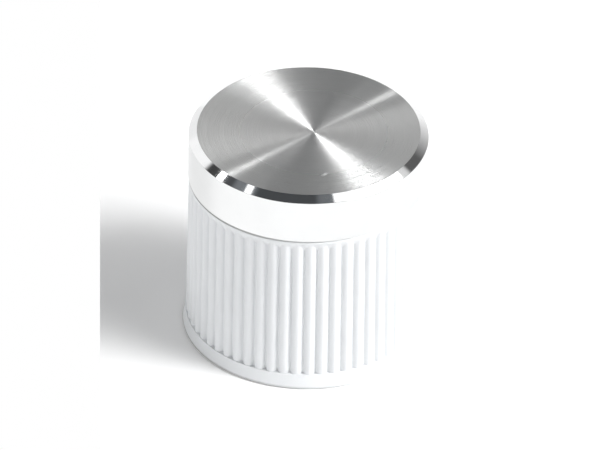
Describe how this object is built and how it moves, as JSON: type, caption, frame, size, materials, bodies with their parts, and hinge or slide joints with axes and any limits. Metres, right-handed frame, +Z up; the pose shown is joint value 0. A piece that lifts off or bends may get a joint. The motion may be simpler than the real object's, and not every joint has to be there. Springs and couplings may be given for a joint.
{
  "type": "clock knob",
  "caption": "Round push-on control knob: a white plastic body with a reeded skirt and a serrated shaft bore, under a turned aluminium cap with a spun face and a bright chamfer.",
  "frame": {"origin": "centre of the skirt's base, on the shaft's axis", "axes": "+Z up the shaft's axis towards the cap's face; X and Y along the webs under the skirt"},
  "size_m": [0.0166, 0.0166, 0.0153],
  "materials": {
    "white_plastic": "fine moulded satin",
    "spun_aluminium": "spun face, bright cut chamfer, satin side"
  },
  "bodies": {
    "root": {"knob_body": "white_plastic", "aluminium_cap": "spun_aluminium"}
  },
  "joints": []
}
